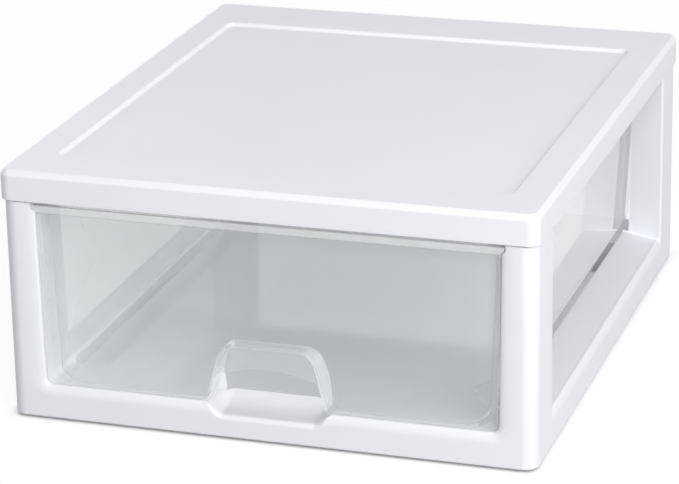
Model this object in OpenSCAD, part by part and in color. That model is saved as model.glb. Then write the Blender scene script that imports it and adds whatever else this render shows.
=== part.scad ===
// Stackable drawer box: a white housing with open side windows and one clear drawer.
// Frame of reference: +X right, +Y to the back, +Z up, origin on the floor under the middle.

/* [Housing] */
// Overall width across the top cover
body_w = 365; // [300:1:420]
// Overall depth, front to back
body_d = 432; // [380:1:480]
// Overall height on the floor
body_h = 175; // [160:1:230]
// Radius of the upright corners
corner_r = 8; // [6:0.5:10]
// Wall of the white mouldings
wall = 2.4; // [2.2:0.1:2.6]

/* [Top cover] */
// Height of the skirt around the cover
skirt_h = 21; // [20:1:26]
// Drop of the bevel around the upper edge
bevel_drop = 3.8; // [2.5:0.1:5]
// Inset of the bevel around the upper edge
bevel_in = 2.6; // [2:0.1:3.5]
// Depth of the sunk stacking panel
panel_sink = 2; // [1.5:0.1:2.4]
// Border at each side of the sunk panel
border_side = 26; // [25:0.5:30]
// Border in front of the sunk panel
border_front = 39.4; // [36:0.5:46]
// Border behind the sunk panel
border_back = 53.6; // [50:0.5:60]

/* [Frame] */
// How far the frame stands back behind the cover's skirt
frame_in = 1.2; // [0.8:0.1:2]
// Width of a post seen from the front
post_w = 23; // [22:0.5:25]
// Depth of the front posts
front_post_d = 42.9; // [41:0.1:46]
// Depth of the rear posts
rear_post_d = 44.5; // [42:0.1:48]
// Height of the bottom rails
rail_h = 25; // [23:0.5:29]
// Rise of the side sills towards the drawer
sill_rise = 4.4; // [2:0.2:6]
// Draft of the front opening, top to bottom, each side
opening_draft = 2; // [0:0.1:2.4]
// Height that the foot ring stands below the outer walls
foot_h = 1.6; // [1:0.1:1.8]

/* [Drawer] */
// Wall of the clear drawer
tub_wall = 2.2; // [1.8:0.1:2.6]
// Draft of the drawer's walls, top to bottom, each side
tub_draft = 5; // [3:0.5:6]
// Gap between the drawer and the frame
slide_gap = 0.9; // [0.6:0.1:1.2]
// Height of the drawer's turned-out rim below the cover
rim_drop = 2.5; // [2.2:0.1:3]
// Travel of the drawer to its stop
travel = 300; // [200:10:300]

/* [Finger pull] */
// Width of the pull where it meets the bottom of the drawer
pull_w = 87; // [70:1:100]
// Width of the pull at its top
pull_top_w = 63; // [52:1:76]
// Height of the pull's top above the floor
pull_top = 67; // [60:1:76]
// Depth of the finger pocket at the bottom
pull_depth = 23; // [18:0.5:26]
// Depth of the finger pocket at the top
pull_top_depth = 14.5; // [12:0.5:18]
// Height of the arch that the fingers hook behind
pull_lip = 51.5; // [46:0.5:56]
// Depth of the scoop in the front rail
scoop_drop = 7.7; // [5:0.1:9]

/* [Hidden] */
$fn = 64;

white = [0.93, 0.94, 0.95];
clear = [0.86, 0.90, 0.90, 0.5];

// Planes of the housing
skirt_z = body_h - skirt_h;                 // lower edge of the skirt, also the top of the windows
skin = 2.2;                                 // wall of the cover
deck_z = body_h - wall;                     // underside of the cover's border
panel_z = body_h - panel_sink;              // top of the sunk panel
fx = body_w / 2 - frame_in;                 // outer faces of the frame
fy = body_d / 2 - frame_in;
open_top = fx - post_w;                     // half width of the front opening, at the skirt
open_low = open_top - opening_draft;        // and at the rail
front_y = -fy + front_post_d;               // rear face of the front posts
rear_y = fy - rear_post_d;                  // front face of the rear posts

// Sunk panel and the foot ring that fits it
px = body_w / 2 - border_side;              // half width of the sunk panel at its upper edge
py0 = -body_d / 2 + border_front;
py1 = body_d / 2 - border_back;
ring_gap = 0.5;                             // play of the foot ring in the panel
rx = px - panel_sink - ring_gap;            // outer faces of the foot ring
ry0 = py0 + panel_sink + ring_gap;
ry1 = py1 - panel_sink - ring_gap;

// Drawer
rim_z = skirt_z - rim_drop;                 // top of the drawer's rim
rim_t = 2.2;
rim_low = rim_z - rim_t;                    // underside of the rim
rim_x = open_top + 1.7;                     // outer edge of the rim, in its notches in the posts
notch_x = rim_x + 0.8;
ledge_z = rim_low - 0.3;                    // top of the runner ledges
tub_x = open_top - 3;                       // half width of the tub under its rim
tub_z = rail_h + 2.5;                       // underside of the drawer's floor
tub_front = -fy + 1.5;                      // front face of the drawer
tub_back = fy - 10;                         // rear face of the drawer, at the rim
panel_t = 2.4;                              // thickness of its front panel
tub_r = 14;                                 // radius of the tub's rear corners
tub_edge = 6;                               // bevel along the drawer's floor
stop_z = rim_z + 8;                         // top of the stop tabs
stop_y = tub_back - tub_wall - travel - 0.3; // rear face of the rib that the tabs meet
neck = skin + 0.9 - frame_in;               // how far a post's neck stands back inside the skirt

// Soft shoulder along the outer edge of the rails
soft = 7.5;                                 // its height
soft_r = 12;
soft_in = soft_r - sqrt(soft_r * soft_r - soft * soft);

// ---------------------------------------------------------------- outlines

// Rectangle with a radius of its own at each corner, 0 for a square one:
// r = [front left, front right, rear right, rear left]
module outline(x0, x1, y0, y1, r) {
    c = [[x0, y0, 1, 1], [x1, y0, -1, 1], [x1, y1, -1, -1], [x0, y1, 1, -1]];
    polygon([for (i = [0:3], k = [0:1]) if (r[i] > 0 || k == 0)
                 let (along = (i % 2 == 0) == (k == 0))
                     [c[i][0] + (along ? 0 : c[i][2] * r[i]), c[i][1] + (along ? c[i][3] * r[i] : 0)]]);
    for (i = [0:3]) if (r[i] > 0)
        translate([c[i][0] + c[i][2] * r[i], c[i][1] + c[i][3] * r[i]]) circle(r = r[i]);
}

module slab(x0, x1, y0, y1, z0, z1, r) {
    translate([0, 0, z0]) linear_extrude(z1 - z0) outline(x0, x1, y0, y1, r);
}

module box(x0, x1, y0, y1, z0, z1) {
    translate([x0, y0, z0]) cube([x1 - x0, y1 - y0, z1 - z0]);
}

// Draws a shape given in X and Z, and runs it from y0 to y1
module run_y(y0, y1) {
    translate([0, y1, 0]) rotate([90, 0, 0]) linear_extrude(y1 - y0) children();
}

// Draws a shape given in Y and Z, and runs it from x0 to x1
module run_x(x0, x1) {
    translate([x0, 0, 0]) rotate([90, 0, 90]) linear_extrude(x1 - x0) children();
}

// Slab with rounded corners whose edge follows a profile of [inset, z] points, from the bottom up. The points
// are rounded, so that the straight sides and the corners meet at the same numbers.
module profiled(x0, x1, y0, y1, r, points) {
    edge = [for (p = points) [for (v = p) round(v * 1000) / 1000]];
    n = len(edge);
    run_y(y0 + r, y1 - r)
        polygon(concat([for (p = edge) [x1 - p[0], p[1]]],
                       [for (i = [n - 1 : -1 : 0]) [x0 + edge[i][0], edge[i][1]]]));
    run_x(x0 + r, x1 - r)
        polygon(concat([for (p = edge) [y1 - p[0], p[1]]],
                       [for (i = [n - 1 : -1 : 0]) [y0 + edge[i][0], edge[i][1]]]));
    for (x = [x0 + r, x1 - r], y = [y0 + r, y1 - r])
        translate([x, y, 0]) rotate_extrude()
            polygon(concat([[0, edge[0][1]]], [for (p = edge) [r - p[0], p[1]]], [[0, edge[n - 1][1]]]));
}

// Leaning side with a rounded shoulder, from x = 0 outwards: half width w0 at height z0, w1 at height z1
module shoulder(w0, z0, w1, z1, r) {
    lean = (w0 - w1) / (z1 - z0);
    k = sqrt(1 + lean * lean);
    x = w1 + lean * r - r * k;
    polygon([[0, z0], [w0, z0], [x + r / k, z1 - r + r * lean / k], [x, z1], [0, z1]]);
    translate([x, z1 - r]) circle(r = r);
}

// Both halves of it
module arch(w0, z0, w1, z1, r) {
    shoulder(w0, z0, w1, z1, r);
    mirror([1, 0]) shoulder(w0, z0, w1, z1, r);
}

// ---------------------------------------------------------------- top cover

module top_cover() {
    rib = 1.8;
    hx = body_w / 2;
    hy = body_d / 2;
    rib_z = panel_z - wall - 8;             // lower edge of the panel's ribs
    step_x = px + 1.2;                      // outer face of the wall around the sunk panel
    color(white) difference() {
        union() {
            // Shell: skirt, bevelled border and the sunk panel's underside
            difference() {
                profiled(-hx, hx, -hy, hy, corner_r,
                         [[0, skirt_z], [0, body_h - bevel_drop], [bevel_in, body_h]]);
                slab(-hx + skin, hx - skin, -hy + skin, hy - skin, skirt_z - 1, deck_z - panel_sink,
                     [for (i = [0:3]) corner_r - skin]);
                difference() {
                    profiled(-hx + skin, hx - skin, -hy + skin, hy - skin, corner_r - skin,
                             [[0, deck_z - panel_sink - 1], [0, deck_z - 0.8], [0.6, deck_z]]);
                    slab(-step_x, step_x, py0 - 1.2, py1 + 1.2, skirt_z, deck_z + 1, [5, 5, 5, 5]);
                }
            }
            // Rib around the sunk panel, cut away where the posts' sockets stand
            difference() {
                slab(-step_x, step_x, py0 - 1.2, py1 + 1.2, rib_z, deck_z, [5, 5, 5, 5]);
                slab(-step_x + rib, step_x - rib, py0 - 1.2 + rib, py1 + 1.2 - rib, rib_z - 1, deck_z - 1,
                     [3.2, 3.2, 3.2, 3.2]);
            }
            // Ribs under the panel, three lengthwise and four across
            for (i = [-1:1])
                box(i * px / 2 - rib / 2, i * px / 2 + rib / 2, py0, py1, rib_z, deck_z - 1);
            for (i = [1:4])
                let (y = py0 + (py1 - py0) * i / 5)
                    box(-px, px, y - rib / 2, y + rib / 2, rib_z, deck_z - 1);
            // Deeper rib that the drawer's stop tabs meet
            run_x(-px, px)
                polygon([[stop_y - 4, deck_z - 1], [stop_y - 2.2, stop_z - 3.4], [stop_y, stop_z - 3.4],
                         [stop_y, deck_z - 1]]);
            // Plugs that enter the tops of the posts
            for (sx = [0, 1], sy = [-1, 1]) mirror([sx, 0, 0]) difference() {
                plug(sy, 0, deck_z - 12, deck_z + 1);
                plug(sy, 2, deck_z - 13, deck_z);
            }
        }
        // Sunk stacking panel with sloping walls
        profiled(-px, px, py0, py1, 5, [[panel_sink, panel_z], [0, body_h], [0, body_h + 1]]);
    }
}

// Socket in the top of a right-hand post: [x in, x out, y in, y out] from the middle of the box;
// side is -1 in front and 1 behind
function socket(side) =
    [notch_x + 2.2, fx - 4, (side < 0 ? -front_y : rear_y) + 3.4, fy - 4];

// The cover's plug for it, shrunk by t
module plug(side, t, z0, z1) {
    s = socket(side);
    g = 0.3 + t;
    slab(s[0] + g, s[1] - g, side < 0 ? -s[3] + g : s[2] + g, side < 0 ? -s[2] - g : s[3] - g, z0, z1,
         [for (i = [0:3]) 2.6 - t]);
}

// ---------------------------------------------------------------- frame

// Side of the front opening in X and Z, from the middle of the box to the right
module opening_half() {
    r = 5;
    x = open_low;
    slope = opening_draft / (skirt_z - rail_h);
    polygon([[-1, rail_h], [x - r, rail_h], [x, rail_h + r], [x + slope * (skirt_z - rail_h), skirt_z],
             [open_top, body_h], [-1, body_h]]);
    translate([x - r, rail_h + r]) circle(r = r);
}

// Notch in X and Z that the drawer's rim runs through
module notch_profile() {
    polygon([[open_low - 4, ledge_z - 2.6], [open_top - 0.6, ledge_z - 2.6], [notch_x, ledge_z - 0.2],
             [notch_x, body_h], [open_low - 4, body_h]]);
}

// Cuts the square edge at (x, y) to a radius; dx and dy point from the edge into the solid
module soften(x, y, z0, z1, r, dx, dy) {
    difference() {
        box(min(x - dx, x + dx * r), max(x - dx, x + dx * r),
            min(y - dy, y + dy * r), max(y - dy, y + dy * r), z0, z1);
        translate([x + dx * r, y + dy * r, z0 - 1]) cylinder(r = r, h = z1 - z0 + 2);
    }
}

// Hollow corner post, drawn for the right side; side is -1 in front and 1 behind
module post(side) {
    y0 = side < 0 ? -fy : rear_y;
    y1 = side < 0 ? front_y : fy;
    inner = side < 0 ? front_y : rear_y;    // face towards the side window
    r_out = corner_r - frame_in;
    s = socket(side);
    difference() {
        union() {
            slab(open_low, fx, y0, y1, foot_h, skirt_z, side < 0 ? [3, r_out, 0, 0] : [0, 0, r_out, 3]);
            slab(open_low, fx - neck, y0 + (side < 0 ? neck : 0), y1 - (side < 0 ? 0 : neck), skirt_z - 4, deck_z,
                 side < 0 ? [3, r_out - neck, 0, 0] : [0, 0, r_out - neck, 3]);
        }
        // Drafted face beside the opening, and the notch for the drawer's rim
        run_y(y0 - 1, y1 + 1) opening_half();
        run_y(y0 - 1, y1 + 1) notch_profile();
        // Hollow from below, narrower at the top where the cover plugs in
        slab(open_top + 2, fx - wall, y0 + wall, y1 - wall, foot_h - 1, ledge_z - 14,
             side < 0 ? [1, r_out - wall, 1, 1] : [1, 1, r_out - wall, 1]);
        slab(s[0], s[1], side < 0 ? -s[3] : s[2], side < 0 ? -s[2] : s[3], ledge_z - 15, deck_z + 1,
             [3, 3, 3, 3]);
        // Soft edges: beside the window, and along the foot
        soften(fx, inner, rail_h + sill_rise, skirt_z, 2, -1, side);
        run_y(y0 - 1, y1 + 1)
            polygon([[fx - 1.2, foot_h - 1], [fx + 1, foot_h - 1], [fx + 1, foot_h + 2.2], [fx - 1.2, foot_h]]);
        run_x(open_low - 1, fx + 1)
            polygon([[side * (fy - 1.2), foot_h - 1], [side * (fy + 1), foot_h - 1],
                     [side * (fy + 1), foot_h + 2.2], [side * (fy - 1.2), foot_h]]);
    }
}

module front_right_post() { color(white) post(-1); }
module front_left_post() { color(white) mirror([1, 0, 0]) post(-1); }
module rear_right_post() { color(white) post(1); }
module rear_left_post() { color(white) mirror([1, 0, 0]) post(1); }

// Section of a rail. Its outer face is at distance out, its foot between foot_in and foot_out; its top falls
// from high at the foot to low at the outer face, where a soft shoulder leads down.
module rail_outline(out, foot_in, foot_out, low, high) {
    polygon([[foot_in, 0], [foot_out, 0], [foot_out, foot_h], [out - 1.2, foot_h], [out, foot_h + 1.2],
             [out, low - soft], [out - soft_in, low], [foot_out, high], [foot_in, high]]);
    intersection() {
        translate([out - soft_r, low - soft]) circle(r = soft_r);
        polygon([[out - soft_r, low - soft], [out + 1, low - soft], [out + 1, low],
                 [out - soft_in, low], [out - soft_r, low - 1]]);
    }
}

module rail_hollow(out, foot_out, low, high) {
    polygon([[foot_out, -1], [out - wall, -1], [out - wall, low - soft - 1],
             [out - wall - soft_in, low - wall], [foot_out, high - wall]]);
}

module rail_section(out, foot_in, foot_out, low, high) {
    difference() {
        rail_outline(out, foot_in, foot_out, low, high);
        rail_hollow(out, foot_out, low, high);
    }
}

// Side rail with its sloping sill, drawn for the right side
module side_rail() {
    run_y(front_y, rear_y) rail_section(fx, rx - 2.2, rx, rail_h + 0.5, rail_h + sill_rise);
    // Stiffening webs in the hollow
    n = 5;
    for (i = [1 : n])
        let (y = front_y + (rear_y - front_y) * i / (n + 1))
            run_y(y - 0.9, y + 0.9)
                polygon([[rx - 1, foot_h + 2], [fx - 1, foot_h + 2], [fx - 1, rail_h - 8],
                         [fx - wall - 1, rail_h - 1.5], [rx - 1, rail_h + sill_rise - 1.5]]);
}

module right_rail() { color(white) side_rail(); }
module left_rail() { color(white) mirror([1, 0, 0]) side_rail(); }

// Plan of the finger pull in X and Y: half width w at the front face y, depth d
module pull_plan(w, d, y, r) {
    arch(w + 5 * 20 / d, y - 20, w - 5, y + d, r);
}

// Circle that draws the scoop's floor, in Y and Z, with the front of the rail at y = fy
module scoop_circle(grow) {
    d = pull_depth + 2;
    r = (d * d + scoop_drop * scoop_drop) / (2 * scoop_drop);
    translate([fy, rail_h - scoop_drop + r]) circle(r = r + grow, $fn = 180);
}

module front_rail() {
    span = open_low;
    corner = 5;
    color(white) mirror([0, 1, 0]) difference() {
        union() {
            intersection() {
                run_x(-span, span) rail_section(fy, -front_y, -ry0, rail_h, rail_h);
                union() {
                    box(-rx, rx, 0, fy + 1, -1, foot_h + 1);
                    box(-span, span, 0, fy + 1, foot_h, rail_h + 1);
                }
            }
            // Thicker under the scoop
            run_x(-pull_w / 2 - wall, pull_w / 2 + wall) difference() {
                rail_outline(fy, -front_y, -ry0, rail_h, rail_h);
                difference() {
                    rail_hollow(fy, -ry0, rail_h, rail_h);
                    scoop_circle(wall);
                }
            }
            // Rounded lower corners of the opening
            for (s = [0, 1]) mirror([s, 0, 0]) difference() {
                box(span - 0.88 * corner, span, -front_y, fy - soft_in, rail_h - 1, rail_h + 0.88 * corner);
                run_y(-front_y - 1, fy) translate([span - corner, rail_h + corner]) circle(r = corner);
            }
            // Stiffening webs in the hollow
            for (x = [-4, -3, -2, 2, 3, 4])
                box(x * span / 5 - 0.9, x * span / 5 + 0.9, -ry0 - 1, fy - 1, foot_h + 2, rail_h - 8);
        }
        // Finger scoop, open to the front
        intersection() {
            run_x(-pull_w, pull_w) union() {
                scoop_circle(0);
                translate([fy, rail_h - scoop_drop]) square([5, 40]);
            }
            translate([0, 0, rail_h - scoop_drop - 1]) linear_extrude(scoop_drop + 20)
                mirror([0, 1]) pull_plan(pull_w / 2, pull_depth + 3, -fy, 14);
        }
    }
}

module rear_rail() {
    span = open_low;
    color(white) {
        difference() {
            union() {
                run_x(-span, span) rail_outline(fy, rear_y, rear_y + 1, rail_h, rail_h);
                box(-rx + 2.2, rx - 2.2, ry1 - 2.2, rear_y + 1, 0, rail_h);
            }
            // Hollow from below, with the foot ring left along its front
            run_x(-span + wall, span - wall) rail_hollow(fy, rear_y + wall, rail_h, rail_h);
            box(-rx + 4.4, rx - 4.4, ry1, rear_y + wall + 1, -1, rail_h - wall);
            box(-span - 1, span + 1, ry1, fy + 1, -1, foot_h);
        }
        // Stiffening webs
        for (i = [-2:2])
            box(i * span / 3 - 0.9, i * span / 3 + 0.9, ry1 - 1, fy - 1, foot_h + 2, rail_h - 8);
    }
}

// Hidden ledge that carries the drawer's rim, drawn for the right side
module runner() {
    x = notch_x;
    run_y(front_y, rear_y)
        polygon([[open_top - 0.3, ledge_z - 2.2], [x + 2.2, ledge_z - 2.2], [x + 2.2, deck_z - 2.2],
                 [fx - 5, deck_z - 2.2], [fx - 5, deck_z], [x, deck_z], [x, ledge_z], [open_top - 0.3, ledge_z]]);
}

module right_runner() { color(white) runner(); }
module left_runner() { color(white) mirror([1, 0, 0]) runner(); }

// ---------------------------------------------------------------- drawer

// Body of the tub, drafted, with a bevel along its floor; shrunk by t for the inside
module tub_body(t, top) {
    lean = tub_draft / (rim_z - tub_z);
    e = tub_edge - t / 2;
    z = tub_z + t;
    intersection() {
        profiled(-tub_x + t, tub_x - t, tub_front - 60, tub_back - t, tub_r - t,
                 [[tub_draft + e, z], [tub_draft - lean * e, z + e], [-lean * (top - rim_z), top]]);
        box(-body_w, body_w, tub_front + (t > 0 ? panel_t : 0), body_d, 0, body_h);
    }
}

// Rounds the inside of the tub's right front corner
module front_corner() {
    r = 9;
    tilt = atan(tub_draft / (rim_z - tub_z));
    difference() {
        intersection() {
            tub_body(0, rim_low);
            box(tub_x - tub_draft - tub_wall - r, tub_x, tub_front, tub_front + panel_t + r, 0, body_h);
        }
        translate([tub_x - (tub_wall + r) / cos(tilt), tub_front + panel_t + r, rim_z])
            rotate([0, tilt, 0]) cylinder(r = r, h = 3 * rim_z, center = true);
    }
}

// Pocket of the pull: its three elevations together, shrunk by t for the inside
module pull_body(t) {
    y = t > 0 ? panel_t : 0;
    intersection() {
        run_y(tub_front - 1, tub_front + pull_depth + 10)
            arch(pull_w / 2 - t + 6, rail_h - 6 * (pull_top - rail_h) / ((pull_w - pull_top_w) / 2),
                 pull_top_w / 2 - t, pull_top - t, 14 - t);
        run_x(-pull_w, pull_w) translate([tub_front + y, 0])
            shoulder(pull_depth - t - y + 2, tub_z - 2 * (pull_top - tub_z) / (pull_depth - pull_top_depth),
                     pull_top_depth - t - y, pull_top - t, 6 - t);
        linear_extrude(body_h) pull_plan(pull_w / 2 - t, pull_depth - t, tub_front, 14 - t);
    }
}

// Half width of the front panel at its foot, under the rim and at the rim's top
function panel_x(z) = let (foot = rail_h + 5.6, f = max(0, (z - foot) / (rim_z - foot)))
    open_low - slide_gap + f * (open_top - open_low);

module front_panel() {
    lo = panel_x(0);
    hi = panel_x(rim_low);
    foot = rail_h + 0.6;
    run_y(tub_front, tub_front + panel_t) {
        polygon([[-lo + 5, foot], [lo - 5, foot], [lo, foot + 5], [hi, rim_low], [-hi, rim_low], [-lo, foot + 5]]);
        for (s = [-1, 1]) translate([s * (lo - 5), foot + 5]) circle(r = 5);
    }
}

// Open tub with its flat front, up to the rim and around the pull
module drawer_tub() {
    ear = panel_x(rim_z) - 0.4;
    color(clear) difference() {
        union() {
            difference() {
                tub_body(0, rim_low);
                tub_body(tub_wall, rim_z + 1);
            }
            for (s = [0, 1]) mirror([s, 0, 0]) front_corner();
            front_panel();
            // Underside of the band along the front's upper edge, with its ears
            run_y(tub_front - 0.6, tub_front + 4)
                polygon([[-ear, rim_z - 5], [ear, rim_z - 5], [rim_x, rim_low], [-rim_x, rim_low]]);
        }
        pull_body(0);
    }
}

// Turned-out rim with the band along the front, its ears that run in the notches, and the stop tabs
module drawer_rim() {
    color(clear) {
        difference() {
            union() {
                slab(-rim_x, rim_x, tub_front, tub_back + 3.4, rim_low, rim_z, [0, 0, tub_r + 3, tub_r + 3]);
                box(-rim_x, rim_x, tub_front - 0.6, tub_front + 4, rim_low, rim_z);
            }
            slab(-tub_x + tub_wall, tub_x - tub_wall, tub_front + 6.5, tub_back - tub_wall,
                 rim_low - 1, rim_z + 1, [9, 9, tub_r - tub_wall, tub_r - tub_wall]);
        }
        for (s = [-1, 1])
            run_y(tub_back - tub_wall, tub_back)
                polygon([[s * 118 - 11, rim_z - 1], [s * 118 + 11, rim_z - 1], [s * 118 + 8, stop_z],
                         [s * 118 - 8, stop_z]]);
    }
}

// Finger pull: a pocket behind the front, open below, with an arched lip to hook the fingers behind
module finger_pull() {
    // Circle that draws the arch of the lip
    half = pull_top_w / 2;
    rise = 4.6;
    arch_r = (half * half + rise * rise) / (2 * rise);
    color(clear) difference() {
        intersection() {
            pull_body(0);
            union() {
                tub_body(0, rim_low);
                front_panel();
            }
        }
        // Inside of the pocket, open below
        pull_body(tub_wall);
        // Mouth, arched at the top
        run_y(tub_front - 2, tub_front + panel_t + 1) intersection() {
            arch(pull_w / 2 - tub_wall + 6, rail_h - 6 * (pull_top - rail_h) / ((pull_w - pull_top_w) / 2),
                 pull_top_w / 2 - tub_wall, pull_top - tub_wall, 14 - tub_wall);
            translate([0, pull_lip - arch_r]) circle(r = arch_r, $fn = 180);
        }
    }
}

top_cover();
front_left_post();
front_right_post();
rear_left_post();
rear_right_post();
front_rail();
rear_rail();
left_rail();
right_rail();
left_runner();
right_runner();
drawer_tub();
drawer_rim();
finger_pull();
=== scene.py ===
"""Dressed model of a stackable drawer box: a white moulded housing and one clear drawer that pulls out.

Bodies are worked out in millimetres, in the frame of the solids: +X to the right, +Y to the back, +Z up, with
the floor at Z = 0. Each is turned to metres when it is finished.
"""

import logging
import math
from collections.abc import Callable, Iterable
from dataclasses import dataclass
from enum import Enum

import bmesh
import bpy
from mathutils import Matrix, Vector


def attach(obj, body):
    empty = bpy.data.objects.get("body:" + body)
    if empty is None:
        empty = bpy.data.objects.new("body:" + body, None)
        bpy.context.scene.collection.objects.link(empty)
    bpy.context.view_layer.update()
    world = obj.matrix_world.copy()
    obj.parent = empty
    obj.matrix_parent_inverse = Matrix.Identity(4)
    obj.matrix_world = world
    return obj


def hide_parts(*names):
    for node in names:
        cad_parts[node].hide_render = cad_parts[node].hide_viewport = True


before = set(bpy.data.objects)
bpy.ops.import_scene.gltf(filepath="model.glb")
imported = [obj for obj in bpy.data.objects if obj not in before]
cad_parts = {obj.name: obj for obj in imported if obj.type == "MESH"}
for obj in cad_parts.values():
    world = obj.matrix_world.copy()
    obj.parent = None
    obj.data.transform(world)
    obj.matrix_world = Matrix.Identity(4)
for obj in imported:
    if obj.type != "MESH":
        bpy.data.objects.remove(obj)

log = logging.getLogger("drawer_box")
Point = tuple[float, float]
Place = tuple[float, float, float]
MM = 0.001  # metres in a millimetre
SHARP = 0.2  # mm, the radius of a corner that looks sharp
OPEN_END = 20.0  # mm that an open path runs on past its last corner, before that end is dropped
PAST = 1.0  # mm that a cutter runs past what it cuts, and that an added body sinks into its neighbour
FAR = 5.0  # mm that the cutters run past the outside of the box


# ---------------------------------------------------------------- outlines and bodies


class Axis(Enum):
    """The direction that an outline is run along, with the place of each of its two numbers in X, Y and Z."""

    X = (1, 2, 0)
    Y = (0, 2, 1)
    Z = (0, 1, 2)


def rounded(
    points: list[Point], radii: float | list[float], steps: int = 6, closed: bool = True
) -> list[Point]:
    """Rounds the corners of an outline or an open path.

    Args:
        points: The corners in order.
        radii: One radius for all corners, or one for each. 0 leaves a corner as it is.
        steps: How many straight pieces each rounding has.
        closed: False for an open path, whose two ends stay as they are.

    Returns:
        The corners with their roundings.
    """
    out: list[Point] = []
    count = len(points)
    for i, point in enumerate(points):
        radius = radii[i] if isinstance(radii, list) else radii
        if radius <= 0 or (not closed and i in (0, count - 1)):
            out.append(point)
            continue
        corner = Vector(point)
        before = (Vector(points[i - 1]) - corner).normalized()
        after = (Vector(points[(i + 1) % count]) - corner).normalized()
        half = before.angle(after) / 2
        centre = corner + (before + after).normalized() * (radius / math.sin(half))
        reach = radius / math.tan(half)
        first, last = corner + before * reach - centre, corner + after * reach - centre
        start = math.atan2(first.y, first.x)
        turn = (math.atan2(last.y, last.x) - start + math.pi) % math.tau - math.pi
        for k in range(steps + 1):
            angle = start + turn * k / steps
            out.append((centre.x + radius * math.cos(angle), centre.y + radius * math.sin(angle)))
    return out


def arch(low_half: float, low: float, high_half: float, high: float, radius: float) -> list[Point]:
    """Draws a symmetrical outline with rounded upper corners.

    Args:
        low_half: Half of its width at its foot.
        low: Where its foot is.
        high_half: Half of its width at its top.
        high: Where its top is.
        radius: The radius of its upper corners.

    Returns:
        The outline's points.
    """
    corners = [(-low_half, low), (low_half, low), (high_half, high), (-high_half, high)]
    return rounded(corners, [0, 0, radius, radius], 8)


@dataclass(frozen=True)
class Plan:
    """A rectangle seen from above, with rounded corners."""

    x0: float
    x1: float
    y0: float
    y1: float
    radii: tuple[float, float, float, float]  # front left, front right, rear right, rear left
    steps: int = 8

    def inset(self, amount: float) -> list[Point]:
        """Moves the outline inwards.

        Args:
            amount: How far, or how far outwards where it is negative.

        Returns:
            The outline's points.
        """
        corners = [
            (self.x0 + amount, self.y0 + amount), (self.x1 - amount, self.y0 + amount),
            (self.x1 - amount, self.y1 - amount), (self.x0 + amount, self.y1 - amount),
        ]
        return rounded(corners, [max(r - amount, SHARP) for r in self.radii], self.steps)


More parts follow.
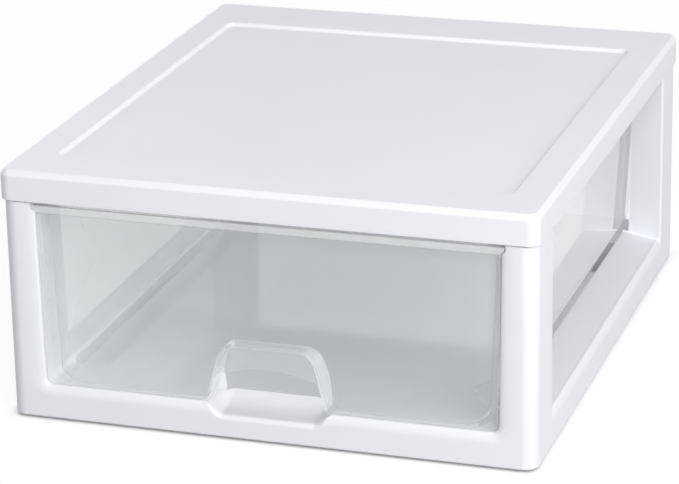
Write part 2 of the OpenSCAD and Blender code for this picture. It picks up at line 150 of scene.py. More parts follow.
class Solid:
    """A closed body under construction, in millimetres. Combining it with another uses that other one up."""

    SAME_PLACE = 0.01  # mm within which corners are joined
    FLAT = 0.3  # degrees below which two faces count as one
    CREASE = 38.0  # degrees above which an edge is shaded sharp

    def __init__(self, mesh: bmesh.types.BMesh) -> None:
        """Takes over a mesh.

        Args:
            mesh: The closed mesh, which is freed.
        """
        bmesh.ops.recalc_face_normals(mesh, faces=mesh.faces)
        data = bpy.data.meshes.new("solid")
        mesh.to_mesh(data)
        mesh.free()
        self.obj = bpy.data.objects.new("solid", data)
        bpy.context.scene.collection.objects.link(self.obj)

    @classmethod
    def loft(cls, rings: list[list[Place]]) -> "Solid":
        """Skins a row of rings that have the same number of points, and closes both ends.

        Args:
            rings: The rings in order, each a list of points in X, Y and Z.

        Returns:
            The closed body.
        """
        mesh = bmesh.new()
        rows = [[mesh.verts.new(point) for point in ring] for ring in rings]
        for one, other in zip(rows, rows[1:]):
            for k in range(len(one)):
                j = (k + 1) % len(one)
                mesh.faces.new((one[k], one[j], other[j], other[k]))
        mesh.faces.new(rows[0][::-1])
        mesh.faces.new(rows[-1])
        return cls(mesh)

    @classmethod
    def prism(cls, outline: list[Point], axis: Axis, low: float, high: float) -> "Solid":
        """Runs an outline along an axis.

        Args:
            outline: The points of the outline.
            axis: The direction that it is run along.
            low: Where it starts.
            high: Where it ends.

        Returns:
            The closed body.
        """
        first, second, along = axis.value
        rings = []
        for at in (low, high):
            ring = []
            for a, b in outline:
                point = [0.0, 0.0, 0.0]
                point[first], point[second], point[along] = a, b, at
                ring.append(tuple(point))
            rings.append(ring)
        return cls.loft(rings)

    @classmethod
    def box(cls, x0: float, x1: float, y0: float, y1: float, z0: float, z1: float) -> "Solid":
        """A block with square corners, as a cutter or a ring's outside."""
        return cls.prism([(x0, y0), (x1, y0), (x1, y1), (x0, y1)], Axis.Z, z0, z1)

    def _apply(self) -> None:
        """Turns the object's modifiers into its mesh."""
        graph = bpy.context.evaluated_depsgraph_get()
        made = bpy.data.meshes.new_from_object(self.obj.evaluated_get(graph))
        old = self.obj.data
        self.obj.modifiers.clear()
        self.obj.data = made
        bpy.data.meshes.remove(old)

    def _combine(self, other: "Solid", operation: str) -> "Solid":
        """Combines this body with another one.

        Args:
            other: The other body, which is used up.
            operation: Blender's name for what the boolean does.

        Returns:
            This body.
        """
        step = self.obj.modifiers.new("step", "BOOLEAN")
        step.operation, step.object, step.solver = operation, other.obj, "EXACT"
        self._apply()
        other.discard()
        return self

    def add(self, other: "Solid") -> "Solid":
        """Joins another body to this one."""
        return self._combine(other, "UNION")

    def cut(self, other: "Solid") -> "Solid":
        """Cuts another body out of this one."""
        return self._combine(other, "DIFFERENCE")

    def keep(self, other: "Solid") -> "Solid":
        """Keeps what this body shares with another."""
        return self._combine(other, "INTERSECT")

    def beside(self, *others: "Solid") -> "Solid":
        """Takes in bodies that don't touch this one, so that one boolean can use them all.

        Args:
            others: The bodies, which are used up.

        Returns:
            This body.
        """
        mesh = bmesh.new()
        for solid in (self, *others):
            mesh.from_mesh(solid.obj.data)
        for other in others:
            other.discard()
        mesh.to_mesh(self.obj.data)
        mesh.free()
        return self

    def both_sides(self) -> "Solid":
        """Takes in the body's mirror image on the other side of the box, which doesn't touch it.

        Returns:
            This body, now a pair.
        """
        mesh = bmesh.new()
        mesh.from_mesh(self.obj.data)
        bmesh.ops.scale(mesh, vec=(-1, 1, 1), verts=mesh.verts)
        return self.beside(Solid(mesh))

    def discard(self) -> None:
        """Deletes the body."""
        data = self.obj.data
        bpy.data.objects.remove(self.obj)
        bpy.data.meshes.remove(data)

    def soften(self, width: float, segments: int, least: float, slot: int = -1) -> "Solid":
        """Rounds every edge that turns by more than the least angle, as a mould's edges are.

        Args:
            width: How far the rounding reaches from the edge, in millimetres.
            segments: How many facets the rounding has.
            least: The angle in degrees.
            slot: Which of the body's finishes the roundings have, or -1 for that of the faces beside them.

        Returns:
            This body.
        """
        mesh = bmesh.new()
        mesh.from_mesh(self.obj.data)
        bmesh.ops.remove_doubles(mesh, verts=mesh.verts, dist=self.SAME_PLACE)
        bmesh.ops.dissolve_limit(
            mesh, angle_limit=math.radians(self.FLAT), verts=mesh.verts, edges=mesh.edges, delimit={"NORMAL"}
        )
        mesh.to_mesh(self.obj.data)
        mesh.free()
        step = self.obj.modifiers.new("edges", "BEVEL")
        step.width, step.segments = width, segments
        step.limit_method, step.angle_limit = "ANGLE", math.radians(least)
        step.use_clamp_overlap = False
        step.miter_outer = "MITER_ARC"
        step.material = slot
        self._apply()
        return self

    def give(self, slot: int, test: Callable[[Vector, Vector], bool]) -> "Solid":
        """Gives one of the body's finishes to some of its faces.

        Args:
            slot: Which of the finishes.
            test: Says for a face's centre and its normal whether it gets the finish.

        Returns:
            This body.
        """
        for face in self.obj.data.polygons:
            if test(face.center, face.normal):
                face.material_index = slot
        return self

    def finish(self, name: str, *materials: bpy.types.Material) -> bpy.types.Object:
        """Turns the body to metres, shades it smooth between its edges and gives it its materials.

        Args:
            name: The piece's name.
            materials: Its finishes, in the order of the faces' slots.

        Returns:
            The finished object.
        """
        data = self.obj.data
        data.transform(Matrix.Scale(MM, 4))
        data.polygons.foreach_set("use_smooth", [True] * len(data.polygons))
        data.set_sharp_from_angle(angle=math.radians(self.CREASE))
        for material in materials:
            data.materials.append(material)
        self.obj.name = data.name = name
        shade = self.obj.modifiers.new("normals", "WEIGHTED_NORMAL")
        shade.keep_sharp = True
        return self.obj


# ---------------------------------------------------------------- finishes


def linear(code: str) -> tuple[float, float, float, float]:
    """Turns an sRGB colour to the linear one that the shaders take.

    Args:
        code: The colour in hex, such as "#EDEEF2".

    Returns:
        Red, green, blue and an alpha of 1.
    """
    parts = [int(code[i : i + 2], 16) / 255 for i in (1, 3, 5)]
    values = [v / 12.92 if v <= 0.04045 else ((v + 0.055) / 1.055) ** 2.4 for v in parts]
    return (*values, 1.0)


def per_metre(millimetres: float) -> float:
    """Scale of a pattern whose features are this many millimetres across, in object coordinates."""
    return 1000.0 / millimetres


def add_node(
    tree: bpy.types.NodeTree, kind: str, links: dict | None = None, **settings: object
) -> bpy.types.Node:
    """Adds a node with its settings and links.

    Args:
        tree: The node tree.
        kind: Blender's name for the node.
        links: Output sockets by the name or number of the input that each goes to.
        settings: Values by the name of a property or an input, with _ for a space.

    Returns:
        The node.
    """
    node = tree.nodes.new(kind)
    for name, value in settings.items():
        socket = node.inputs.get(name.replace("_", " "))
        if socket is not None:
            socket.default_value = value
        else:
            setattr(node, name, value)
    for name, output in (links or {}).items():
        tree.links.new(output, node.inputs[name])
    return node


@dataclass(frozen=True)
class MouldedPolypropylene:
    """White polypropylene, injection moulded against a finely eroded steel surface.

    The eye sees an even, slightly cool white with a soft sheen. The melt's flow leaves the white very
    slightly uneven over a hand's width, and the mould's texture breaks up the sheen.
    """

    name: str = "White moulded polypropylene"
    colour: str = "#EDEEF2"
    flow_colour: str = "#E8E9EE"
    flow_mm: float = 90.0  # width of the uneven patches that the flow leaves
    # The real texture is about 0.1 mm, which is finer than the render shows, so it is drawn at 0.9 mm
    grain_mm: float = 0.9
    grain_depth_mm: float = 0.012
    grain_strength: float = 0.5
    roughness: tuple[float, float] = (0.36, 0.46)
    ior: float = 1.49

    def material(self) -> bpy.types.Material:
        """Builds the node material.

        Returns:
            The material.
        """
        made = bpy.data.materials.new(self.name)
        made.use_nodes = True
        tree = made.node_tree
        tree.nodes.clear()
        place = add_node(tree, "ShaderNodeTexCoord").outputs["Object"]
        flow = add_node(
            tree, "ShaderNodeTexNoise", {"Vector": place}, Scale=per_metre(self.flow_mm), Detail=2.0
        )
        grain = add_node(
            tree, "ShaderNodeTexNoise", {"Vector": place}, Scale=per_metre(self.grain_mm), Detail=1.0
        )
        white = add_node(tree, "ShaderNodeMix", {"Factor": flow.outputs["Fac"]}, data_type="RGBA")
        for socket, code in ((white.inputs[6], self.colour), (white.inputs[7], self.flow_colour)):
            socket.default_value = linear(code)
        sheen = add_node(
            tree, "ShaderNodeMapRange", {"Value": grain.outputs["Fac"]},
            To_Min=self.roughness[0], To_Max=self.roughness[1],
        )
        bump = add_node(
            tree, "ShaderNodeBump", {"Height": grain.outputs["Fac"]},
            Strength=self.grain_strength, Distance=self.grain_depth_mm * MM,
        )
        links = {
            "Base Color": white.outputs[2], "Roughness": sheen.outputs["Result"],
            "Normal": bump.outputs["Normal"],
        }
        shader = add_node(tree, "ShaderNodeBsdfPrincipled", links, IOR=self.ior)
        add_node(tree, "ShaderNodeOutputMaterial", {"Surface": shader.outputs["BSDF"]})
        return made


@dataclass(frozen=True)
class ClearPolystyrene:
    """Clear polystyrene, injection moulded against polished steel.

    The eye sees through it, with a faint milky haze. Where a wall turns away it gathers that haze to a pale
    line, which is how its edges and corners are found, and its faces have a window-like gloss.
    """

    name: str = "Clear moulded polystyrene"
    haze: str = "#F5F6F7"  # colour of the light that the plastic scatters
    flow_haze: str = "#EEF0F1"
    flow_mm: float = 120.0
    milky: tuple[float, float] = (0.04, 0.85)  # share of light scattered, seen straight on and edge on
    edge: float = 0.25  # how early the edges gather haze
    forward: float = 0.2  # share of the scattered light that goes on through the wall
    roughness: tuple[float, float] = (0.03, 0.08)
    ior: float = 1.5
    gloss: tuple[float, float] = (0.04, 1.0)  # share of light reflected, seen straight on and edge on
    gloss_power: float = 5.0  # how late the gloss grows as a face turns away, as any clear solid's does
    through: str = "#FCFDFD"  # what is left of an object's colour behind one face
    onward: str = "#FDFDFD"  # what is left of the light that crosses one face

    def material(self) -> bpy.types.Material:
        """Builds the node material.

        Returns:
            The material.
        """
        made = bpy.data.materials.new(self.name)
        made.use_nodes = True
        tree = made.node_tree
        tree.nodes.clear()
        place = add_node(tree, "ShaderNodeTexCoord").outputs["Object"]
        flow = add_node(
            tree, "ShaderNodeTexNoise", {"Vector": place}, Scale=per_metre(self.flow_mm), Detail=1.0
        )
        haze = add_node(tree, "ShaderNodeMix", {"Factor": flow.outputs["Fac"]}, data_type="RGBA")
        for socket, code in ((haze.inputs[6], self.haze), (haze.inputs[7], self.flow_haze)):
            socket.default_value = linear(code)
        polish = add_node(
            tree, "ShaderNodeMapRange", {"Value": flow.outputs["Fac"]},
            To_Min=self.roughness[0], To_Max=self.roughness[1],
        )
        turned = add_node(tree, "ShaderNodeLayerWeight", Blend=self.edge)
        milk = add_node(
            tree, "ShaderNodeMapRange", {"Value": turned.outputs["Facing"]},
            To_Min=self.milky[0], To_Max=self.milky[1],
        )
        plastic = add_node(
            tree, "ShaderNodeBsdfPrincipled",
            {"Base Color": haze.outputs[2], "Roughness": polish.outputs["Result"]}, IOR=self.ior,
        )
        glow = add_node(tree, "ShaderNodeBsdfTranslucent", {"Color": haze.outputs[2]})
        wall = add_node(
            tree, "ShaderNodeMixShader", {1: plastic.outputs["BSDF"], 2: glow.outputs["BSDF"]},
            Fac=self.forward,
        )
        through = add_node(tree, "ShaderNodeBsdfTransparent", Color=linear(self.through))
        both = add_node(
            tree, "ShaderNodeMixShader",
            {0: milk.outputs["Result"], 1: through.outputs["BSDF"], 2: wall.outputs["Shader"]},
        )
        # The polish gives every face a gloss that grows towards a glancing view, however clear the face is
        glance = add_node(tree, "ShaderNodeLayerWeight", Blend=0.5)
        steep = add_node(tree, "ShaderNodeMath", {0: glance.outputs["Facing"]}, operation="POWER")
        steep.inputs[1].default_value = self.gloss_power
        share = add_node(
            tree, "ShaderNodeMapRange", {"Value": steep.outputs[0]},
            To_Min=self.gloss[0], To_Max=self.gloss[1],
        )
        gloss = add_node(
            tree, "ShaderNodeBsdfAnisotropic", {"Roughness": polish.outputs["Result"]}, Color=(1, 1, 1, 1)
        )
        shining = add_node(
            tree, "ShaderNodeMixShader",
            {0: share.outputs["Result"], 1: both.outputs["Shader"], 2: gloss.outputs[0]},
        )
        # Light that lands on the plastic goes on into the box, as what it scatters nearly keeps its direction
        onward = add_node(tree, "ShaderNodeBsdfTransparent", Color=linear(self.onward))
        ray = add_node(tree, "ShaderNodeLightPath").outputs
        lit = add_node(
            tree, "ShaderNodeMath", {0: ray["Is Shadow Ray"], 1: ray["Is Diffuse Ray"]}, operation="MAXIMUM"
        )
        skin = add_node(
            tree, "ShaderNodeMixShader",
            {0: lit.outputs[0], 1: shining.outputs["Shader"], 2: onward.outputs["BSDF"]},
        )
        add_node(tree, "ShaderNodeOutputMaterial", {"Surface": skin.outputs["Shader"]})
        return made


# ---------------------------------------------------------------- the white mouldings


@dataclass
class Housing:
    """Sizes that the cover, the frame and the drawer share."""

    width: float = 365.0
    depth: float = 432.0
    height: float = 175.0
    corner: float = 8.0
    skirt: float = 21.0  # height of the cover's skirt
    wall: float = 2.4
    skin: float = 2.2  # wall of the cover
    panel_sink: float = 2.0
    border_side: float = 26.0
    border_front: float = 39.4
    border_back: float = 53.6
    frame_in: float = 1.2  # how far the frame stands back behind the skirt
    post_width: float = 23.0
    front_post_depth: float = 42.9
    rear_post_depth: float = 44.5
    rail: float = 25.0  # height of the bottom rails
    opening_draft: float = 2.0
    foot: float = 1.6
    seam: float = 0.7  # the fine gap that shows between the skirt and the posts
    socket_wall: float = 4.0  # between a post's socket and its outer faces
    socket_back: float = 3.4  # between a post's socket and its face towards the side window
    socket_side: float = 2.2  # between a post's socket and the notch for the drawer's rim
    rim_drop: float = 2.5  # the drawer's rim, below the skirt's lower edge
    rim_thickness: float = 2.2
    rim_out: float = 1.7  # how far the rim reaches into the posts
    rim_play: float = 0.8  # between the rim and the sides of its notches
    ledge_play: float = 0.3  # between the rim and its ledges
    tub_wall: float = 2.2
    tub_back_in: float = 10.0  # the drawer's rear face, in from the frame's
    tab_height: float = 8.0  # of the drawer's stop tabs, above its rim
    travel: float = 300.0
    stop_play: float = 0.3  # what is left between the tabs and their stop when the drawer is out
    pull_width: float = 87.0
    pull_depth: float = 23.0

    def __post_init__(self) -> None:
        """Works out the planes that follow from the sizes."""
        self.skirt_z = self.height - self.skirt
        self.deck_z = self.height - self.wall
        self.panel_z = self.height - self.panel_sink
        self.fx = self.width / 2 - self.frame_in
        self.fy = self.depth / 2 - self.frame_in
        self.open_top = self.fx - self.post_width
        self.open_low = self.open_top - self.opening_draft
        self.front_y = -self.fy + self.front_post_depth
        self.rear_y = self.fy - self.rear_post_depth
        self.px = self.width / 2 - self.border_side
        self.py0 = -self.depth / 2 + self.border_front
        self.py1 = self.depth / 2 - self.border_back
        self.rim_z = self.skirt_z - self.rim_drop
        self.rim_x = self.open_top + self.rim_out
        self.notch_x = self.rim_x + self.rim_play
        self.ledge_z = self.rim_z - self.rim_thickness - self.ledge_play
        self.stop_z = self.rim_z + self.tab_height
        self.tub_back = self.fy - self.tub_back_in
        self.stop_y = self.tub_back - self.tub_wall - self.travel - self.stop_play

    def socket(self, side: int) -> tuple[float, float, float, float]:
        """Inside of the socket in the top of a right-hand post.

        Args:
            side: -1 for the post in front, 1 for the one behind.

        Returns:
            Its limits in X, then in Y.
        """
        window = self.rear_y if side > 0 else -self.front_y
        low, high = sorted((side * (window + self.socket_back), side * (self.fy - self.socket_wall)))
        return self.notch_x + self.socket_side, self.fx - self.socket_wall, low, high


@dataclass
class TopCover:
    """The cover: a skirt, a bevelled border and a sunk panel that the foot of the unit above drops into."""

    housing: Housing
    bevel_drop: float = 3.8
    bevel_in: float = 2.6
    # Radii along the skirt, from the top: the bevel's inner and outer edge, the outer and inner edge of the
    # skirt's foot, and the corner between skirt and deck
    edge_radii: tuple[float, ...] = (1.6, 2.4, 0.6, 0.5, 1.2)
    panel_radius: float = 5.0
    step_drop: float = 2.8
    step_in: float = 1.2
    step_radius: float = 1.7
    rib: float = 1.8
    rib_depth: float = 8.0
    rib_block_out: float = 1.2  # how far the ribs' outer walls reach past the panel's edge
    cells: tuple[int, int] = (4, 5)  # spaces between the ribs, across and lengthwise
    plug_depth: float = 12.0
    plug_gap: float = 0.3
    plug_wall: float = 2.0
    plug_radius: float = 2.6
    stop_foot: float = 4.0  # thickness of the stop's rib at the panel
    stop_edge: float = 2.2  # and at its lower edge
    stop_lap: float = 3.4  # how far it reaches down past the tops of the drawer's tabs
    mould_edge: float = 0.35

    def shell(self) -> Solid:
        """Makes the cover's skin and the block that its ribs are left from.

        Returns:
            The body.
        """
        h = self.housing
        body = Plan(-h.width / 2, h.width / 2, -h.depth / 2, h.depth / 2, (h.corner,) * 4)
        panel = Plan(-h.px, h.px, h.py0, h.py1, (self.panel_radius,) * 4)
        panel_z = h.height - self.step_drop
        step = rounded(
            [(OPEN_END, panel_z), (self.step_in, panel_z), (0, h.height), (-OPEN_END, h.height)],
            self.step_radius, 5, closed=False,
        )[1:-1]
        edge = rounded(
            [(OPEN_END, h.height), (self.bevel_in, h.height), (0, h.height - self.bevel_drop), (0, h.skirt_z),
             (h.skin, h.skirt_z), (h.skin, h.deck_z), (OPEN_END, h.deck_z)],
            [0, *self.edge_radii, 0], 4, closed=False,
        )[1:-1]
        under = [(-self.rib_block_out, h.deck_z), (-self.rib_block_out, self.rib_z())]
        rings = [(panel, p) for p in step] + [(body, p) for p in edge] + [(panel, p) for p in under]
        return Solid.loft([[(x, y, z) for x, y in plan.inset(inset)] for plan, (inset, z) in rings])

    def rib_z(self) -> float:
        """Height of the ribs' lower edges."""
        return self.housing.panel_z - self.housing.wall - self.rib_depth

    def rib_lines(self, low: float, high: float, cells: int) -> list[float]:
        """Places the ribs over the panel.

        Args:
            low: Where the panel starts.
            high: Where it ends.
            cells: How many spaces there are between the ribs.

        Returns:
            The middle lines of the ribs.
        """
        out = self.rib_block_out - self.rib / 2
        return [low - out, *(low + (high - low) * i / cells for i in range(1, cells)), high + out]

    def pockets(self) -> Solid:
        """Makes the spaces between the ribs under the panel.

        Returns:
            All the spaces as one cutter.
        """
        h = self.housing
        half, low, high = self.rib / 2, self.rib_z() - PAST, h.deck_z - self.step_drop
        x_lines = self.rib_lines(-h.px, h.px, self.cells[0])
        y_lines = self.rib_lines(h.py0, h.py1, self.cells[1])
        cells = [
            Solid.box(x0 + half, x1 - half, y0 + half, y1 - half, low, high)
            for x0, x1 in zip(x_lines, x_lines[1:])
            for y0, y1 in zip(y_lines, y_lines[1:])
        ]
        return cells[0].beside(*cells[1:])

    def stop_rib(self) -> Solid:
        """Makes the rib across the cover that the drawer's tabs meet.

        Returns:
            The rib, which ends inside the panel's skin.
        """
        h = self.housing
        low, high = h.stop_z - self.stop_lap, h.deck_z - PAST
        section = [
            (h.stop_y - self.stop_foot, high), (h.stop_y - self.stop_edge, low),
            (h.stop_y, low), (h.stop_y, high),
        ]
        return Solid.prism(section, Axis.X, -h.px, h.px)

    def plugs(self, shrink: float, low: float, high: float) -> Solid:
        """Makes the plugs that sit in the posts' sockets, or what hollows them.

        Args:
            shrink: How much smaller than the plugs it is all round.
            low: Where it starts in Z.
            high: Where it ends.

        Returns:
            All four as one body.
        """
        gap = self.plug_gap + shrink
        pairs = []
        for side in (-1, 1):
            x0, x1, y0, y1 = self.housing.socket(side)
            plan = Plan(x0 + gap, x1 - gap, y0 + gap, y1 - gap, (self.plug_radius - shrink,) * 4, 3)
            pairs.append(Solid.prism(plan.inset(0), Axis.Z, low, high).both_sides())
        return pairs[0].beside(pairs[1])

    def build(self, finish: bpy.types.Material) -> bpy.types.Object:
        """Builds the cover and puts it in place of its solid.

        Args:
            finish: The white plastic.

        Returns:
            The cover.
        """
        h = self.housing
        plug_z = h.deck_z - self.plug_depth
        cover = self.shell().cut(self.pockets()).add(self.stop_rib())
        cover.add(self.plugs(0, plug_z, h.deck_z + PAST))
        cover.cut(self.plugs(self.plug_wall, plug_z - PAST, h.deck_z))
        cover.soften(self.mould_edge, 2, 50)
        piece = cover.finish("cover", finish)
        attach(piece, "housing")
        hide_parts("top_cover")
        return piece


@dataclass
class LowerFrame:
    """The white frame below the cover: hollow posts, rails with soft shoulders and the drawer's runners."""

    housing: Housing
    corner: float = 10.0
    foot_edge: float = 1.4  # radius along the frame's foot
    seam_edge: float = 0.3  # radius along the seam
    neck_gap: float = 0.9  # between the skirt and the neck inside it
    sill_rise: float = 4.4  # the side sills' inner edges, above the front rail
    sill_lift: float = 0.5  # and their outer edges
    soft: float = 7.5  # height of the soft shoulder along the rails
    soft_radius: float = 12.0
    crest_radius: float = 1.4  # between a rail's top and its shoulder
    crest_run: float = 3.0  # the flat that the crest starts from
    jamb: float = 1.6  # radius along the posts' side edges
    crown: float = 14.0  # width of the soft crown across the front of the posts
    opening_radius: float = 5.0  # in the lower corners of the front and rear openings
    window_radius: float = 1.5  # in the lower corners of the side windows
    window_run: float = 12.0  # how far a side window's cutter reaches in past the foot ring
    notch_foot: tuple[float, float] = (2.6, 0.2)  # drop of the notches' foot below the ledges, at its ends
    notch_lip: float = 0.6
    notch_run: float = 6.0  # how far the notches' cutter reaches in past the opening
    ring_wall: float = 2.2
    ring_play: float = 0.5  # of the foot ring in the panel of the unit below
    ring_lap: float = 4.0  # how far the ring reaches up into the frame
    web: float = 1.8
    bays: int = 6  # hollows between the webs under the side rails and the rear one
    front_webs: tuple[int, ...] = (-5, -4, -3, -2, 2, 3, 4, 5)  # in fifths of the opening's half width
    post_wall: float = 2.0  # between a post's hollow and the front opening
    post_floor: float = 14.0  # from the ledges down to the top of the posts' hollows
    socket_radius: float = 3.0
    runner_wall: float = 2.2
    runner_in: float = 0.3  # how far the ledges reach into the opening
    runner_out: float = 5.0  # from the runners' flange to the frame's outer face
    scoop: float = 7.7
    scoop_edge: float = 3.6  # radius along the scoop's front edge
    scoop_margin: float = 1.5  # how much wider than the pull it is on each side
    scoop_end: float = 14.0  # length over which it rises at each end
    scoop_behind: float = 2.0  # how far it reaches past the pull
    scoop_square: int = 5  # how square its plan is: 2 is an ellipse, and more is fuller
    scoop_lift: float = 0.2  # how far it ends above the rail at the back
    scoop_above: float = 12.0

    def __post_init__(self) -> None:
        """Works out how far the soft shoulder reaches in, and the faces of the foot ring."""
        h = self.housing
        self.soft_in = self.soft_radius - math.sqrt(self.soft_radius**2 - self.soft**2)
        self.ring_x = h.px - h.panel_sink - self.ring_play
        self.ring_front = h.py0 + h.panel_sink + self.ring_play
        self.ring_back = h.py1 - h.panel_sink - self.ring_play

    def shoulder(self, steps: int = 6) -> list[Point]:
        """Draws the edge of a rail from its top outwards: a crest, then a soft arc.

        Args:
            steps: How many straight pieces the arc has.

        Returns:
            Points of distance in from the rail's face, and drop from its top.
        """
        top = math.asin(self.soft / self.soft_radius)
        arc = []
        for k in range(steps, -1, -1):
            turn = top * k / steps
            drop = self.soft * (1 - math.sin(turn) / math.sin(top))
            arc.append((self.soft_radius * (1 - math.cos(turn)), drop))
        start = (self.soft_in + self.crest_run, 0)
        return rounded([start, *arc], [0, self.crest_radius, *[0] * steps], 4, closed=False)

    def flare(self, away: float, width: float, depth: float) -> float:
        """Widens an opening towards the face that it is in, to round a post's edge by an elliptical arc.

        Args:
            away: Distance in from the face.
            width: How much wider the opening is at the face.
            depth: Distance in from the face at which the widening starts.

        Returns:
            How much wider the opening is at this distance.
        """
        part = min(max((depth - away) / depth, 0), 1)
        return width * (1 - math.sqrt(1 - part**2))

    def block(self) -> Solid:
        """Makes the outside of the frame, with the soft edge along its foot and the neck inside the skirt.

        Returns:
            The body.
        """
        h = self.housing
        plan = Plan(-h.fx, h.fx, -h.fy, h.fy, (self.corner,) * 4)
        neck, seam_z = h.skin + self.neck_gap - h.frame_in, h.skirt_z - h.seam
        path = rounded(
            [(OPEN_END, h.foot), (0, h.foot), (0, seam_z), (neck, seam_z), (neck, h.deck_z)],
            [0, self.foot_edge, self.seam_edge, 0, 0], 4, closed=False,
        )[1:]
        return Solid.loft([[(x, y, z) for x, y in plan.inset(inset)] for inset, z in path])

    def end_opening(self, side: int) -> Solid:
        """Makes the drafted opening between two posts, which flares to round the edges around it.

        Args:
            side: -1 for the front, 1 for the rear.

        Returns:
            The cutter.
        """
        h = self.housing
        slope = h.opening_draft / (h.skirt_z - h.rail)
        top = h.height + FAR
        depth = h.front_post_depth if side < 0 else h.rear_post_depth
        rings = []
        for away, drop in [(depth, 0.0), *self.shoulder(10), (-FAR, self.soft)]:
            out = self.flare(away, self.crown, self.soft_in)
            foot, radius = h.rail - drop, self.opening_radius + out
            low, high = (h.open_low + slope * (z - h.rail) + out for z in (foot, top))
            corners = [(-low, foot), (low, foot), (high, top), (-high, top)]
            outline = rounded(corners, [radius, radius, 0, 0], 8)
            rings.append([(x, side * (h.fy - away), z) for x, z in outline])
        return Solid.loft(rings)

    def side_windows(self) -> Solid:
        """Makes the openings in the sides, over sills that slope outwards, with the same rounded edges.

        Returns:
            The cutter for both.
        """
        h = self.housing
        outer, inner, top = h.rail + self.sill_lift, h.rail + self.sill_rise, h.height + FAR
        path = [(self.ring_x - self.window_run, inner, 0.0), (self.ring_x, inner, 0.0)]
        for away, drop in self.shoulder():
            path.append((h.fx - away, outer - drop, self.flare(away, self.jamb, self.jamb)))
        path.append((h.fx + FAR, outer - self.soft, self.jamb))
        rings = []
        for x, z, out in path:
            y0, y1 = h.front_y - out, h.rear_y + out
            corners = [(y0, z), (y1, z), (y1, top), (y0, top)]
            outline = rounded(corners, [self.window_radius, self.window_radius, 0, 0], 3)
            rings.append([(x, *point) for point in outline])
        return Solid.loft(rings).both_sides()

    def openings(self) -> list[Solid]:
        """Makes what opens the frame.

        Returns:
            Cutters for the middle, the sides, the front, the rear and the notches for the drawer's rim.
        """
        h = self.housing
        top = h.height + FAR
        wide = self.ring_x - self.ring_wall
        middle = Solid.box(-wide, wide, h.front_y, self.ring_back - self.ring_wall, -FAR, top)
        above = Solid.box(-wide, wide, h.front_y, h.rear_y, h.rail, top)
        inner = h.open_low - self.notch_run
        foot_in, foot_out = (h.ledge_z - drop for drop in self.notch_foot)
        notch = [
            (inner, foot_in), (h.open_top - self.notch_lip, foot_in), (h.notch_x, foot_out), (h.notch_x, top),
            (inner, top),
        ]
        notches = Solid.prism(notch, Axis.Y, -h.fy - FAR, h.fy + FAR).both_sides()
        return [middle, above, self.side_windows(), self.end_opening(-1), self.end_opening(1), notches]

    def under_rail(self, ring: float, face: float, low: float, high: float) -> list[Point]:
        """Section of the hollow under a rail.

        Args:
            ring: The foot ring's face on this side, which the hollow starts from.
            face: The frame's outer face.
            low: Height of the rail's outer edge.
            high: Height of its inner edge.

        Returns:
            Points of distance from the middle of the box, and height.
        """
        inwards = -math.copysign(1, face)
        wall = face + inwards * self.housing.wall
        shoulder = wall + inwards * self.soft_in
        return [
            (ring, -PAST), (wall, -PAST), (wall, low - self.soft - PAST), (shoulder, low - self.housing.wall),
            (ring, high - self.housing.wall),
        ]

    def between(self, lines: list[float]) -> list[Point]:
        """The spaces between webs that stand on these lines, as their two ends."""
        return [(low + self.web / 2, high - self.web / 2) for low, high in zip(lines, lines[1:])]

    def hollows(self) -> list[Solid]:
        """Makes the hollows under the rails, between their webs.

        Returns:
            One cutter for the side rails, and one for the front and rear ones.
        """
        h = self.housing
        section = self.under_rail(self.ring_x, h.fx, h.rail + self.sill_lift, h.rail + self.sill_rise)
        span = h.rear_y - h.front_y
        lines = [h.front_y + span * i / self.bays for i in range(self.bays + 1)]
        sides = [Solid.prism(section, Axis.Y, *bay).both_sides() for bay in self.between(lines)]

        front = self.under_rail(self.ring_front, -h.fy, h.rail, h.rail)
        roof = h.rail - self.scoop - h.wall
        wall = -h.fy + h.wall
        below_scoop = [(self.ring_front, -PAST), (wall, -PAST), (wall, roof - 0.5), (self.ring_front, roof)]
        bays = self.between([x * h.open_low / 5 for x in self.front_webs])
        middle = next(bay for bay in bays if bay[0] < 0 < bay[1])
        ends = [Solid.prism(front, Axis.X, *bay) for bay in bays if bay != middle]
        ends.append(Solid.prism(below_scoop, Axis.X, *middle))

        rear = self.under_rail(self.ring_back, h.fy, h.rail, h.rail)
        lines = [-h.open_low + 2 * h.open_low * i / self.bays for i in range(self.bays + 1)]
        ends += [Solid.prism(rear, Axis.X, *bay) for bay in self.between(lines)]
        return [sides[0].beside(*sides[1:]), ends[0].beside(*ends[1:])]

    def post_hollows(self) -> list[Solid]:
        """Makes the hollow of each post from below, and the narrower socket that the cover plugs into.

        Returns:
            One cutter for the four hollows, and one for the four sockets.
        """
        h = self.housing
        outer = h.corner - h.frame_in - h.wall
        end_z = h.ledge_z - self.post_floor
        lower, upper = [], []
        for side in (-1, 1):
            y0, y1 = (-h.fy, h.front_y) if side < 0 else (h.rear_y, h.fy)
            radii = (1, outer, 1, 1) if side < 0 else (1, 1, outer, 1)
            hollow = Plan(h.open_top + self.post_wall, h.fx - h.wall, y0 + h.wall, y1 - h.wall, radii, 4)
            lower.append(Solid.prism(hollow.inset(0), Axis.Z, h.foot - PAST, end_z).both_sides())
            socket = Plan(*h.socket(side), (self.socket_radius,) * 4, 3)
            upper.append(Solid.prism(socket.inset(0), Axis.Z, end_z - PAST, h.height + PAST).both_sides())
        return [lower[0].beside(lower[1]), upper[0].beside(upper[1])]

    def ring(self) -> Solid:
        """Makes the foot ring, which drops into the sunk panel of the unit below.

        Returns:
            The body.
        """
        h = self.housing
        x, y, top = self.ring_x - self.ring_wall, self.ring_back - self.ring_wall, h.foot + self.ring_lap
        outer = Solid.box(-self.ring_x, self.ring_x, self.ring_front, self.ring_back, 0, top)
        return outer.cut(Solid.box(-x, x, h.front_y, y, -PAST, top + PAST))

